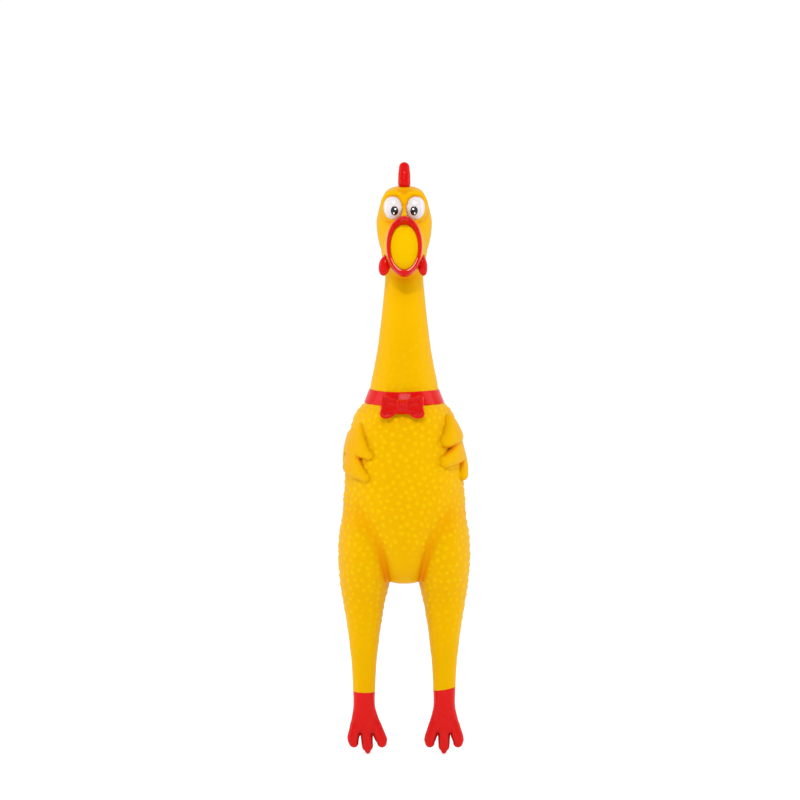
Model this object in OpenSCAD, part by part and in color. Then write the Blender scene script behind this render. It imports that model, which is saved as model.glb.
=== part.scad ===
// Rubber chicken squeaky toy: a hollow moulded skin in bending sections, with a
// collar and bow, solid wings, comb, wattles and feet, and a reed squeaker.
// Millimetres. The chicken stands upright with its toes down, +Z up, its face
// towards -Y and its own left side at +X. Heights inside the modules are counted
// from the toe tips; every node is then lowered so that the origin lies in the
// middle of the torso, where a hand holds the toy.

/* [Skin] */
// thickness of the moulded skin
wall = 2; // [1.6:0.1:2.4]
// clearance between two sections that move
gap = 0.4; // [0.3:0.05:0.5]
// clearance around a piece that is seated and does not move
seat = 0.1; // [0.08:0.01:0.12]

/* [Belly] */
// half width of the soft belly panel
belly_rx = 14; // [11:0.5:15]
// half height of the soft belly panel
belly_rz = 17; // [13:0.5:18]
// height of the panel's middle above the toes
belly_z = 141; // [139:0.5:143]

/* [Legs] */
// sideways distance from the middle to each leg's centre line
leg_x = 21; // [20:0.5:22]
// radius of the round thigh where it turns on the torso
hip_r = 24; // [23.5:0.25:24.5]
// tilt of the groin crease from upright
crease_tilt = 21; // [19:1:23]

/* [Head] */
// half width of the red beak ring
beak_rx = 9; // [8.6:0.1:9.6]
// half height of the red beak ring
beak_rz = 16; // [15:0.5:16.5]
// how far the beak stands out in front of the neck's axis
beak_reach = 25; // [23:0.5:27]
// half width of an eyeball
eye_rx = 5; // [4.6:0.1:5.2]
// half height of an eyeball
eye_rz = 6.2; // [5.6:0.1:6.4]
// half thickness of the comb
comb_r = 3; // [2.5:0.1:3.2]

/* [Wings] */
// how far a wing stands off the torso
wing_t = 3.5; // [2.5:0.25:4]

/* [Bow] */
// thickness of the collar band
band_t = 2.4; // [1.8:0.2:2.8]
// height of the collar band
band_h = 6.5; // [5.5:0.5:6.5]
// how much wider the band is at its lower edge than at its upper edge
band_flare = 1.1; // [0:0.1:1.4]
// half length of the bow
bow_rx = 11.2; // [9.5:0.1:12]

/* [Squeaker] */
// radius of the squeaker's housing
squeaker_r = 5.5; // [5.2:0.1:5.6]
// length of the housing inside the skin
squeaker_len = 13; // [12:0.5:14]
// radius of the air hole in the housing's flange
air_hole_r = 1.6; // [1:0.1:2]

/* [Hidden] */
// height of the hand's grip, where the origin is
grip_z = 140;
// height of the crown, under the comb
crown_z = 298;

// heights of the bending lines
neck_base_z = 196;
neck_mid_z = 218;
neck_twist_z = 236;
head_z = 247;
hip_z = 107.5;
knee_z = 61;
ankle_z = 34;

// radii of the balls that turn in the rims
neck_base_r = 17.2;
neck_mid_r = 13.2;
head_ball_r = 10.1;
knee_r = 7.8;
ankle_r = 5.7;

// how far each rim stays off its ball's centre, so that the ball can bend
neck_mid_rim = 3.6;
head_rim = 3.4;
knee_rim = 3.6;
ankle_rim = 2.4;

// distance from the middle to the groin crease at hip height
crease_x = 14.3;

// how far a ball's dome is closed, from its widest line, and the steps of its arc
dome_angle = 60;
arc_step = 10;

// sections: [height, half width, half depth, depth centre]
torso_st = [[191.4, 18, 18, 0], [184.6, 18, 18, 0], [184.4, 20.6, 19, 0],
    [181, 23.5, 20.5, 0], [176, 26, 22, 0], [168, 27.6, 23.2, 0],
    [158, 29.2, 24.2, 0], [146, 30.8, 25, 0], [134, 32, 25.2, 0],
    [122, 33.3, 24.8, 0], [112, 34.3, 23.6, 0], [105, 34.5, 22, 0],
    [99, 33, 19.5, 0], [95, 29, 16.5, 0], [92.5, 22, 12.5, 0], [91.4, 13, 9, 0]];

leg_st = [[114, 11, 17, 0], [106, 13, 18, 0], [99, 13.2, 16.8, 0],
    [92, 12.7, 14.4, 0], [85, 11.7, 12.2, 0], [77, 10.3, 10.5, 0],
    [68, 8.8, 8.9, 0], [knee_z, knee_r, knee_r, 0]];

// round sections: [height, radius]
shin_st = [[ankle_z, 5.9], [40, 6.1], [47, 6.4], [54, 7.1], [knee_z, knee_r]];

neck_st = [[neck_base_z, neck_base_r], [204, 15.7], [212, 14.1],
    [neck_mid_z, neck_mid_r], [228, 12.1], [neck_twist_z, 11.2], [242, 10.6],
    [head_z, head_ball_r]];

foot_st = [[ankle_z, ankle_r, ankle_r, 0], [25.5, 5.8, 5.2, 0],
    [21.5, 6.8, 4.7, 0], [17, 8, 4.1, -0.3], [13, 9.2, 3.5, -0.6],
    [10, 9.2, 3, -0.8]];

head_st = [[head_z, head_ball_r, head_ball_r, 0], [252, 10.2, 10.6, 0], [257, 10.5, 11.4, 0],
    [263, 11.2, 12.8, -0.3], [268, 12.8, 13.8, -0.5], [274, 13.9, 14.2, -0.5],
    [279, 14.3, 14.2, -0.3], [285, 13.3, 13.8, 0], [290, 12, 12.6, 0.5],
    [294, 10, 10.6, 1], [296.5, 7.4, 7.8, 1.2], [crown_z, 3.5, 4, 1.4]];

// beak sections: [distance in front, half width, half height]
beak_st = [[12, beak_rx - 1.6, beak_rz - 2.6], [17, beak_rx - 1, beak_rz - 1.4],
    [22, beak_rx, beak_rz], [24, beak_rx - 0.2, beak_rz - 0.2],
    [beak_reach, beak_rx - 1.3, beak_rz - 1.6]];
beak_z = 266.5;
mouth_z = 265.5;
mouth_rx = 6.75;
mouth_rz = 11;
mouth_floor_y = 18.5;

eye_x = 5.9;
eye_z = 286.3;
eye_y = -13.2;
eye_ry = 4.6;
pupil_r = 1.75;

comb_z = 299;
comb_rim = 1;
// comb lobes: [start, end, tip place along the head, tip height]
comb_lobes = [[-8.5, -4, -8.2, 305], [-4.5, 0.5, -2.6, 308.4],
    [0, 5, 2.9, 308.6], [4.5, 8.5, 7.8, 307.2], [8, 11, 12, 304.2]];
comb_tip_r = 1.6;

wattle_x = 9.7;
wattle_y = -10.2;
wattle_z = 261;
wattle_knob_r = 1.8;

// wing lobes that point forwards: [angle at the root, root top, root bottom,
// angle at the tip, tip top, tip bottom]; angles go from the side to the front
left_lobes = [[-14, 175, 164, 50, 167.5, 163.5], [-12, 167, 156, 51, 154.5, 152.5]];
right_lobes = [[-14, 173.5, 161.5, 54, 157.5, 157], [-14, 164, 151.5, 51, 147, 146.5]];
// wing lobes that point down: [angle, top, half angle at the top, tip height]
left_lobe_down = [0, 168, 10, 146.5];
right_lobe_down = [-8, 166, 6, 156];
wing_edge_r = 1.7;
wing_steps = 4;

band_r = 18.15;
band_z = 184.8;
bevel = 0.6;

bow_x = -1;
bow_y = -24.1;
bow_z = 182.6;
bow_lean = 8;

bore_r = squeaker_r + seat;
seat_r = 7.6;
flange_r = 6.6;
skin_low_z = 91.4;
flange_t = 1;
flange_z = skin_low_z + flange_t - 0.2;
chamber_r = squeaker_r - 0.9;
cap_t = 1;
reed_z = 94.5;
reed_len = 7.6;
reed_w = 3.4;
reed_t = 0.3;

toe_spread = 6.8;
toe_root_z = 13;
side_toe_z = 3.4;

tail_y = 22;
tail_z = 116;
tail_r = 5;

far = 60;
thin = 0.02;
ring_fn = 32;

// ---------- helpers

module lowered() translate([0, 0, -grip_z]) children();

function ring(s) = [for (k = [0:ring_fn - 1]) let (a = 360 * k / ring_fn)
    [s[1] * cos(a), s[3] + s[2] * sin(a), s[0]]];

// the solid between two sections
module slab(low, high) hull() polyhedron(
    points = concat(ring(low), ring(high)),
    faces = concat([[for (k = [0:ring_fn - 1]) k]],
        [[for (k = [ring_fn - 1:-1:0]) ring_fn + k]],
        [for (k = [0:ring_fn - 1]) let (n = (k + 1) % ring_fn)
            [k, ring_fn + k, ring_fn + n, n]]));

module loft(st) for (i = [0:len(st) - 2])
    slab(st[i][0] < st[i + 1][0] ? st[i] : st[i + 1],
        st[i][0] < st[i + 1][0] ? st[i + 1] : st[i]);

function grown(st, d) = [for (s = st) [s[0], s[1] + d, s[2] + d, s[3]]];

// how far in from the side the skin's inner face lies, where the outline slopes
function inset(a, b) = wall * norm([1, min(2, abs((a[1] - b[1]) / (a[0] - b[0])))]);

function inner(st) = [for (i = [0:len(st) - 1]) let (
        d = max(inset(st[max(i, 1)], st[max(i, 1) - 1]),
            inset(st[min(i, len(st) - 2)], st[min(i, len(st) - 2) + 1])))
    [st[i][0], max(0.6, st[i][1] - d), max(0.6, st[i][2] - d), st[i][3]]];

// the inside of a closed skin, down to its floor and up to its roof
module hollow(st, floor_z, roof_z) intersection() {
    loft(inner(st));
    above(floor_z);
    below(roof_z);
}

// the inside of a section that is open at both ends
module bore_through(st) loft(grown(st, -wall));

module ellipsoid(rx, ry, rz, n = 32) scale([rx, ry, rz]) sphere(r = 1, $fn = n);

module ball(z, r) translate([0, 0, z]) sphere(r = r, $fn = 24);

module below(z) translate([-far, -far, z - 4 * far]) cube([2 * far, 2 * far, 4 * far]);

module above(z) translate([-far, -far, z]) cube([2 * far, 2 * far, 4 * far]);

// ---------- round tube sections, drawn as outlines that are turned about the axis

function arc(z, r, from, to) = [for (a = [from:(to > from ? arc_step : -arc_step):to])
    [r * cos(a), z + r * sin(a)]];

function inside(st, low, high, d) =
    [for (s = st) if (s[0] > low + 0.5 && s[0] < high - 0.5) [s[1] - d, s[0]]];

function backwards(v) = [for (i = [len(v) - 1:-1:0]) v[i]];

// outline of the rim that faces a ball of radius r at height z; up is 1 when
// the ball is above the rim, and the outline runs from the outside inwards
function rim_outline(st, z, r, rim, up) = let (
        b = r + gap,
        edge = asin(rim / b),
        inner = acos((r - wall - 0.2) / b))
    [[lookup(z - up * rim, st), z - up * rim],
        for (a = [edge:(inner - edge) / 4:inner + 0.1]) [b * cos(a), z - up * b * sin(a)]];

// a tube with a ball at z0 and a rim towards the ball at z1; up is 1 when the
// rim is the higher end
module ball_and_rim(st, z0, r0, z1, r1, rim, up) rotate_extrude($fn = 96) polygon(concat(
    arc(z0, r0, -up * dome_angle, 0),
    up > 0 ? inside(st, z0, z1 - rim, 0) : backwards(inside(st, z1 + rim, z0, 0)),
    rim_outline(st, z1, r1, rim, up),
    up > 0 ? backwards(inside(st, z0, z1 - 8, wall)) : inside(st, z1 + 6, z0, wall),
    arc(z0, r0 - wall, 0, -up * dome_angle)));

// ---------- torso

module left_leg_st() translate([leg_x, 0, 0]) loft(leg_st);

module body_outer() {
    loft(torso_st);
    left_leg_st();
    mirror([1, 0, 0]) left_leg_st();
}

module body_inner() {
    hollow(torso_st, skin_low_z + wall, neck_base_z);
    translate([leg_x, 0, 0]) bore_through(leg_st);
    mirror([1, 0, 0]) translate([leg_x, 0, 0]) bore_through(leg_st);
}

// everything that swings with the left leg, in or out by the clearance c
module left_hip_space(c) translate([crease_x, 0, hip_z]) rotate([0, crease_tilt, 0])
    translate([c, 0, 0]) {
        rotate([0, 90, 0]) cylinder(r = hip_r - c, h = far, $fn = 96);
        translate([0, -far, -3 * far]) cube([far, 2 * far, 3 * far]);
    }

module belly_prism(c) translate([0, 0, belly_z]) rotate([90, 0, 0])
    linear_extrude(far) scale([belly_rx + c, belly_rz + c]) circle(r = 1, $fn = 64);

module torso_skin() color("gold") lowered() difference() {
    union() {
        difference() {
            body_outer();
            body_inner();
        }
        translate([0, 0, skin_low_z]) cylinder(r = seat_r, h = squeaker_len - 2, $fn = 64);
    }
    translate([0, 0, skin_low_z - 1]) cylinder(r = bore_r, h = squeaker_len + 2, $fn = 96);
    translate([0, 0, skin_low_z - 1])
        cylinder(r = flange_r + seat, h = flange_z + seat - skin_low_z + 1, $fn = 96);
    left_hip_space(-gap / 2);
    mirror([1, 0, 0]) left_hip_space(-gap / 2);
    belly_prism(gap);
    translate([0, 0, neck_base_z]) sphere(r = neck_base_r + gap, $fn = 40);
    translate([0, tail_y, tail_z]) sphere(r = tail_r + gap, $fn = 20);
}

module belly_panel() color("yellow") lowered() intersection() {
    difference() {
        loft(torso_st);
        hollow(torso_st, skin_low_z + wall, neck_base_z);
    }
    belly_prism(0);
}

module tail() color("goldenrod") lowered() translate([0, tail_y, tail_z]) {
    sphere(r = tail_r, $fn = 20);
    hull() {
        translate([0, 2, 0]) sphere(r = tail_r - 1.7, $fn = 16);
        translate([0, 7, 1.4]) ellipsoid(3.6, 3, 2.6, 16);
    }
    hull() {
        translate([0, 7, 1.4]) ellipsoid(3.6, 3, 2.6, 16);
        translate([0, 11.5, 4.6]) ellipsoid(2.2, 1.4, 1.3, 16);
    }
}

// ---------- squeaker

module squeaker_housing() color("white") lowered() translate([0, 0, flange_z])
    difference() {
        union() {
            cylinder(r = squeaker_r, h = squeaker_len, $fn = 64);
            translate([0, 0, -flange_t]) cylinder(r = flange_r, h = flange_t, $fn = 64);
        }
        translate([0, 0, 1]) cylinder(r = chamber_r, h = squeaker_len, $fn = 64);
        translate([0, 0, -2]) cylinder(r = air_hole_r, h = 4, $fn = 48);
    }

// trough that the reed lies on, with its sound channel
module reed_block() color("lightgrey") lowered() translate([0, 0, flange_z + 1])
    difference() {
        intersection() {
            cylinder(r = chamber_r - seat, h = reed_len + 2, $fn = 48);
            translate([-chamber_r, 0.4, 0]) cube([2 * chamber_r, chamber_r, far]);
        }
        translate([-1.1, -1, -1]) cube([2.2, 3.4, reed_len + 1]);
    }

module squeaker_reed() color("khaki") lowered()
    translate([-reed_w / 2, -reed_t / 2 - 0.1, reed_z]) cube([reed_w, reed_t, reed_len]);

// half-round plug that clamps the reed's upper end
module reed_wedge() color("silver") lowered()
    translate([0, 0, flange_z + 1 + reed_len + 0.2]) intersection() {
        cylinder(r = chamber_r - seat, h = 1.8, $fn = 48);
        translate([-chamber_r, -chamber_r, 0]) cube([2 * chamber_r, chamber_r - 0.5, far]);
    }

// ring that closes the housing's inner end and lets the air through
module squeaker_cap() color("gainsboro") lowered()
    translate([0, 0, flange_z + squeaker_len - cap_t]) difference() {
        cylinder(r = chamber_r - seat, h = cap_t, $fn = 64);
        for (a = [0:60:300]) rotate(a) translate([2.6, 0, -1])
            cylinder(r = 0.8, h = 3, $fn = 24);
    }

// ---------- collar and bow

// a conical band with bevelled edges
module collar_band() color("red") lowered() rotate_extrude($fn = 96)
    translate([band_r, band_z]) polygon([
        [0, bevel], [bevel, 0], [band_t - bevel + band_flare, 0],
        [band_t + band_flare, bevel], [band_t, band_h - bevel],
        [band_t - bevel, band_h], [bevel, band_h], [0, band_h - bevel]]);

// what lies behind the bow: the band and the chest
module behind_bow() {
    translate([0, 0, band_z - 1])
        cylinder(r1 = band_r + band_t + band_flare + seat, r2 = band_r + band_t + seat,
            h = band_h + 3, $fn = 96);
    loft(grown(torso_st, seat));
}

// moves the bow, which leans back with the chest, to its place
module at_bow() translate([bow_x, bow_y, bow_z]) rotate([bow_lean, 0, 0]) children();

module knot(c) hull() for (z = [-0.7, 0.7]) translate([0, 0, z]) sphere(r = 2.7 + c, $fn = 20);

module bow_loop() difference() {
    union() {
        hull() {
            translate([3.4, 0, 0]) ellipsoid(1, 1.4, 1.8, 16);
            translate([6.4, 0, 0.1]) ellipsoid(1.6, 1.7, 3.8, 16);
        }
        hull() {
            translate([6.4, 0, 0.1]) ellipsoid(1.6, 1.7, 3.8, 16);
            translate([bow_rx - 2, 0.2, 2.8]) ellipsoid(2, 1.5, 2.9, 16);
            translate([bow_rx - 1.4, 0.2, -2.9]) ellipsoid(2, 1.5, 2.9, 16);
        }
    }
    knot(seat);
}

module bow_left_loop() color("crimson") lowered() difference() {
    at_bow() bow_loop();
    behind_bow();
}

module bow_right_loop() color("crimson") lowered() difference() {
    at_bow() mirror([1, 0, 0]) bow_loop();
    behind_bow();
}

module bow_knot() color("darkred") lowered() difference() {
    at_bow() knot(0);
    behind_bow();
}

// ---------- neck

function neck_r(z) = lookup(z, neck_st);

module neck_lower() color("yellow") lowered() ball_and_rim(
    neck_st, neck_base_z, neck_base_r, neck_mid_z, neck_mid_r, neck_mid_rim, 1);

// the neck turns on the flat cut between this section and the next
module neck_middle() color("gold") lowered() let (top = neck_twist_z - gap / 2)
    rotate_extrude($fn = 96) polygon(concat(
        arc(neck_mid_z, neck_mid_r, -dome_angle, 0),
        inside(neck_st, neck_mid_z, top, 0),
        [[neck_r(top), top], [neck_r(top) - wall, top]],
        backwards(inside(neck_st, neck_mid_z, top, wall)),
        arc(neck_mid_z, neck_mid_r - wall, 0, -dome_angle)));

module neck_upper() color("yellow") lowered() let (low = neck_twist_z + gap / 2)
    rotate_extrude($fn = 96) polygon(concat(
        [[neck_r(low) - wall, low], [neck_r(low), low]],
        inside(neck_st, low, head_z - head_rim, 0),
        rim_outline(neck_st, head_z, head_ball_r, head_rim, 1)));

// ---------- head

module facing(st, z, d) for (i = [0:len(st) - 2]) hull() for (k = [i, i + 1])
    translate([0, -st[k][0], z]) rotate([90, 0, 0])
        linear_extrude(thin) scale([st[k][1] + d, st[k][2] + d])
            circle(r = 1, $fn = ring_fn);

module eyeball(c) translate([eye_x, eye_y, eye_z])
    ellipsoid(eye_rx + c, eye_ry + c, eye_rz + c, 20);

module eyelid(c) translate([eye_x, eye_y + 1.6, eye_z])
    ellipsoid(6.6 + c, 4.8 + c, 7.8 + c, 16);

module snout(c) translate([0, 0, mouth_z]) rotate([90, 0, 0]) linear_extrude(mouth_floor_y)
    scale([mouth_rx + c, mouth_rz + c]) circle(r = 1, $fn = 32);

module comb_root(r) translate([0, 0, comb_z]) hull() for (y = [-8.5, 10.5])
    translate([0, y, 0]) sphere(r = r, $fn = 20);

module head_skin() color("gold") lowered() difference() {
    union() {
        difference() {
            union() {
                loft(head_st);
                difference() {
                    ball(head_z, head_ball_r);
                    above(head_z + thin);
                }
            }
            hollow(head_st, head_z - thin, crown_z - wall);
            ball(head_z, head_ball_r - wall);
            cylinder(r = head_ball_r / 2, h = head_z, $fn = 32);
        }
        eyelid(0);
        mirror([1, 0, 0]) eyelid(0);
        intersection() {
            snout(0);
            translate([-far, -far, head_z]) cube([2 * far, far - 6, far]);
        }
        hull() {
            translate([0, -7.5, comb_z - comb_rim - 6]) ellipsoid(4, 2.5, 7, 12);
            translate([0, 9.5, comb_z - comb_rim - 6]) ellipsoid(4, 2.5, 7, 12);
        }
    }
    eyeball(seat);
    mirror([1, 0, 0]) eyeball(seat);
    comb_root(comb_r + gap);
    above(comb_z - comb_rim);
    left_wattle_space();
    mirror([1, 0, 0]) left_wattle_space();
}

module comb() color("red") lowered() {
    comb_root(comb_r);
    for (b = comb_lobes) hull() {
        translate([0, b[0], comb_z + 1]) sphere(r = comb_r - 0.3, $fn = 16);
        translate([0, b[1], comb_z + 1]) sphere(r = comb_r - 0.3, $fn = 16);
        translate([0, b[2], b[3] - comb_tip_r + 1.4]) sphere(r = comb_tip_r, $fn = 16);
    }
}

module beak_rim() color("red") lowered() difference() {
    facing(beak_st, beak_z, 0);
    snout(seat);
    translate([0, -mouth_floor_y + 1, mouth_z]) rotate([90, 0, 0]) linear_extrude(far)
        scale([mouth_rx, mouth_rz]) circle(r = 1, $fn = 48);
    loft(grown(head_st, seat));
    eyelid(seat);
    mirror([1, 0, 0]) eyelid(seat);
}

module wattle() {
    sphere(r = wattle_knob_r, $fn = 20);
    hull() {
        sphere(r = wattle_knob_r - 0.1, $fn = 16);
        translate([0.2, -0.2, -5.2]) ellipsoid(3.1, 2, 4.6, 16);
    }
}

// room that the left wattle needs in the cheek
module left_wattle_space() translate([wattle_x, wattle_y, wattle_z])
    sphere(r = wattle_knob_r + gap, $fn = 20);

module left_wattle() color("red") lowered() translate([wattle_x, wattle_y, wattle_z]) wattle();

module right_wattle() color("red") lowered() mirror([1, 0, 0])
    translate([wattle_x, wattle_y, wattle_z]) wattle();

module eye_shape() difference() {
    eyeball(0);
    facing(beak_st, beak_z, seat);
    pupil(seat / 2);
}

module left_eyeball() color("white") lowered() eye_shape();

module right_eyeball() color("white") lowered() mirror([1, 0, 0]) eye_shape();

// a shallow black dome let into the front of the eyeball
module pupil(c) intersection() {
    translate([eye_x - 0.9, eye_y, eye_z - 1.3]) rotate([90, 0, 0])
        linear_extrude(12) scale([pupil_r + c, 2.3 + c]) circle(r = 1, $fn = 32);
    difference() {
        eyeball(0.25 + c);
        translate([0, 0.6 + c, 0]) eyeball(0);
    }
}

module left_pupil() color("black") lowered() pupil(0);

module right_pupil() color("black") lowered() mirror([1, 0, 0]) pupil(0);

// ---------- wings

widths = [for (i = [len(torso_st) - 1:-1:0]) [torso_st[i][0], torso_st[i][1]]];
depths = [for (i = [len(torso_st) - 1:-1:0]) [torso_st[i][0], torso_st[i][2]]];

module on_skin(angle, z) let (off = wing_t - wing_edge_r) translate([
    (lookup(z, widths) + off) * cos(angle), -(lookup(z, depths) + off) * sin(angle), z])
    sphere(r = wing_edge_r, $fn = 10);

function mix(a, b, t) = a + (b - a) * t;

module wing(lobes, down) difference() {
    union() {
        for (b = lobes, i = [0:wing_steps - 1]) hull() for (k = [i, i + 1])
            let (t = k / wing_steps, angle = mix(b[0], b[3], t)) {
                on_skin(angle, mix(b[1], b[4], t));
                on_skin(angle, mix(b[2], b[5], t));
            }
        hull() {
            on_skin(down[0] - down[2], down[1]);
            on_skin(down[0] + down[2], down[1]);
            on_skin(down[0], down[3]);
        }
    }
    loft(grown(torso_st, gap + 0.1));
}

module left_wing() color("orange") lowered() wing(left_lobes, left_lobe_down);

module right_wing() color("orange") lowered() mirror([1, 0, 0])
    wing(right_lobes, right_lobe_down);

// ---------- legs

module thigh() difference() {
    intersection() {
        body_outer();
        left_hip_space(gap / 2);
        above(knee_z + knee_rim);
    }
    body_inner();
    translate([leg_x, 0, 0]) ball(knee_z, knee_r + gap);
}

module left_thigh() color("yellow") lowered() thigh();

module right_thigh() color("yellow") lowered() mirror([1, 0, 0]) thigh();

module shin() translate([leg_x, 0, 0])
    ball_and_rim(shin_st, knee_z, knee_r, ankle_z, ankle_r, ankle_rim, -1);

module left_shin() color("gold") lowered() shin();

module right_shin() color("gold") lowered() mirror([1, 0, 0]) shin();

module toe(x, tip) hull() {
    translate([x * 0.85, -0.5, toe_root_z]) ellipsoid(3.1, 3.2, 3, 16);
    translate([x, -1, tip + 3.5]) ellipsoid(3.1, 2.4, 3.5, 16);
}

module foot() translate([leg_x, 0, 0]) {
    difference() {
        ball(ankle_z, ankle_r);
        below(ankle_z - thin);
    }
    loft(foot_st);
    toe(-toe_spread, side_toe_z);
    toe(0, 0);
    toe(toe_spread, side_toe_z);
}

module left_foot() color("red") lowered() foot();

module right_foot() color("red") lowered() mirror([1, 0, 0]) foot();

// ---------- nodes

torso_skin();
belly_panel();
tail();
squeaker_housing();
reed_block();
squeaker_reed();
reed_wedge();
squeaker_cap();
collar_band();
bow_left_loop();
bow_right_loop();
bow_knot();
neck_lower();
neck_middle();
neck_upper();
head_skin();
comb();
beak_rim();
left_wattle();
right_wattle();
left_eyeball();
right_eyeball();
left_pupil();
right_pupil();
left_wing();
right_wing();
left_thigh();
right_thigh();
left_shin();
right_shin();
left_foot();
right_foot();
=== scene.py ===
import math
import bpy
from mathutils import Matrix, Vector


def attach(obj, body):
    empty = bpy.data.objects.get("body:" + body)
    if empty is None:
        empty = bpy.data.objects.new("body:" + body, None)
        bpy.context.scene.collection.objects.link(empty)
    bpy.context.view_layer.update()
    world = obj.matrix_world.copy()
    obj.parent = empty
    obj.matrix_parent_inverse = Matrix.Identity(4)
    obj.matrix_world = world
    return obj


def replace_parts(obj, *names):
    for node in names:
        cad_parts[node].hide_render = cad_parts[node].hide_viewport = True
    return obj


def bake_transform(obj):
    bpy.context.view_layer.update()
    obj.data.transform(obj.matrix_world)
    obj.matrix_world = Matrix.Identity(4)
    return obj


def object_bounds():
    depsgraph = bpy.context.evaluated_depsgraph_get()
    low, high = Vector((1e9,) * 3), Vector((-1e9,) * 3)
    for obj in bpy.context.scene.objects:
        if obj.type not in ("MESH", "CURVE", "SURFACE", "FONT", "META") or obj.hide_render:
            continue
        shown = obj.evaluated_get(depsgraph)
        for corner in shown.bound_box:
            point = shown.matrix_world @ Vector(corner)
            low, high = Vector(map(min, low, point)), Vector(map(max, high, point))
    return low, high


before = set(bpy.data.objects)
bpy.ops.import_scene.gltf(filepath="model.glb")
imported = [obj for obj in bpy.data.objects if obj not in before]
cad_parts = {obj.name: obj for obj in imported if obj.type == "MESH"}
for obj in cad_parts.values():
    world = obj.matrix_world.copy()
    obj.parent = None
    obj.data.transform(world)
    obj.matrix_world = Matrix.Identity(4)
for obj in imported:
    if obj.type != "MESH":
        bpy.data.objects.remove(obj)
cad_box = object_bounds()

from copy import copy
import bpy
import bmesh
import numpy as np
import openvdb
from mathutils import Matrix, Vector, kdtree

# Shapes are worked out in millimetres: x to the chicken's left, y backwards and
# h as the height above the toe tips, which the CAD box gives.
MM = 0.001
TOES = cad_box[0][2]
# grid steps of the body's skin and of the smaller pieces
CELL = 0.55
FINE = 0.32
# the distance that an empty field holds, and the steepest slope counted in a column's side
FAR = 20.0
STEEP = 1.2
SIDES = ((1, "left"), (-1, "right"))


def row(x, y, h):
    """A point of the row frame, in metres, from millimetres and a height above the toes."""
    return Vector((x * MM, y * MM, TOES + h * MM))


# ---------------------------------------------------------------- distance fields

def curve(table, column, h):
    """A column of a table at heights h, along a smooth curve that never overshoots its rows."""
    t = np.array([r[0] for r in table], float)
    v = np.array([r[column] for r in table], float)
    if t[0] > t[-1]:
        t, v = t[::-1], v[::-1]
    step, rise = np.diff(t), np.diff(v) / np.diff(t)
    slope = np.zeros(len(t))
    slope[0], slope[-1] = rise[0], rise[-1]
    same = rise[1:] * rise[:-1] > 0
    slope[1:-1][same] = (2 * rise[1:] * rise[:-1] / (rise[1:] + rise[:-1] + 1e-12))[same]
    h = np.clip(h, t[0], t[-1])
    i = np.clip(np.searchsorted(t, h) - 1, 0, len(step) - 1)
    s = (h - t[i]) / step[i]
    return ((1 + 2 * s) * (1 - s) ** 2 * v[i] + s * (1 - s) ** 2 * step[i] * slope[i]
            + s * s * (3 - 2 * s) * v[i + 1] + s * s * (s - 1) * step[i] * slope[i + 1])


def smooth_min(a, b, k):
    """The lesser of two distances, rounded over where they are within k of each other."""
    if np.max(k) <= 0:
        return np.minimum(a, b)
    near = np.maximum(k - np.abs(a - b), 0) / k
    return np.minimum(a, b) - near * near * k / 4


def tube(table, power=2, axis=2):
    """A column with elliptical sections: rows of a place along the axis, the middle of the
    section, and its half sizes. Along y, axis 1, the section lies in x and h."""
    def shape(*place):
        t = place[axis]
        u, v = [place[i] for i in range(3) if i != axis]
        line = t.ravel()
        rows = [curve(table, c, line) for c in (1, 2, 3, 4)]
        cu, cv, ru, rv = [r.reshape(t.shape) for r in rows]
        du, dv, dru, drv = [np.gradient(r, line).reshape(t.shape) for r in rows]
        u, v = (u - cu) / ru, (v - cv) / rv
        q = (np.abs(u) ** power + np.abs(v) ** power) ** (1 / power) + 1e-6
        across = ((u / ru) ** 2 + (v / rv) ** 2) / (q * q)
        slopes = [np.clip(slope, -STEEP, STEEP) for slope in (du, dv, dru, drv)]
        along = (u * (slopes[0] * q + u * slopes[2]) / ru
                 + v * (slopes[1] * q + v * slopes[3]) / rv) / (q * q)
        d = (q - 1) / np.sqrt(across + along ** 2 + 1e-9)
        ends = np.maximum(t - max(table[0][0], table[-1][0]), min(table[0][0], table[-1][0]) - t)
        return np.maximum(d, ends + 0 * d)
    return shape


def egg(centre, radii, turn=None):
    """An ellipsoid, turned by a rotation matrix."""
    turn = np.array(turn if turn is not None else Matrix.Identity(3))

    def shape(x, y, h):
        p = [x - centre[0], y - centre[1], h - centre[2]]
        p = [sum(turn[j][i] * p[j] for j in range(3)) for i in range(3)]
        q = np.sqrt(sum((p[i] / radii[i]) ** 2 for i in range(3))) + 1e-6
        g = np.sqrt(sum((p[i] / radii[i] ** 2) ** 2 for i in range(3))) + 1e-6
        return q * (q - 1) / g
    return shape


def stroke(points, radii, flat=(1, 1, 1)):
    """A rope through points whose radius changes along it; flat narrows it along x, y or h."""
    def shape(x, y, h):
        best = None
        for a, b, ra, rb in zip(points[:-1], points[1:], radii[:-1], radii[1:]):
            ab = [(b[i] - a[i]) / flat[i] for i in range(3)]
            p = [(c - a[i]) / flat[i] for i, c in enumerate((x, y, h))]
            t = np.clip(sum(p[i] * ab[i] for i in range(3)) / (sum(c * c for c in ab) + 1e-9), 0, 1)
            d = np.sqrt(sum((p[i] - ab[i] * t) ** 2 for i in range(3))) - (ra + (rb - ra) * t)
            best = d if best is None else np.minimum(best, d)
        return best * min(flat)
    return shape


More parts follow.
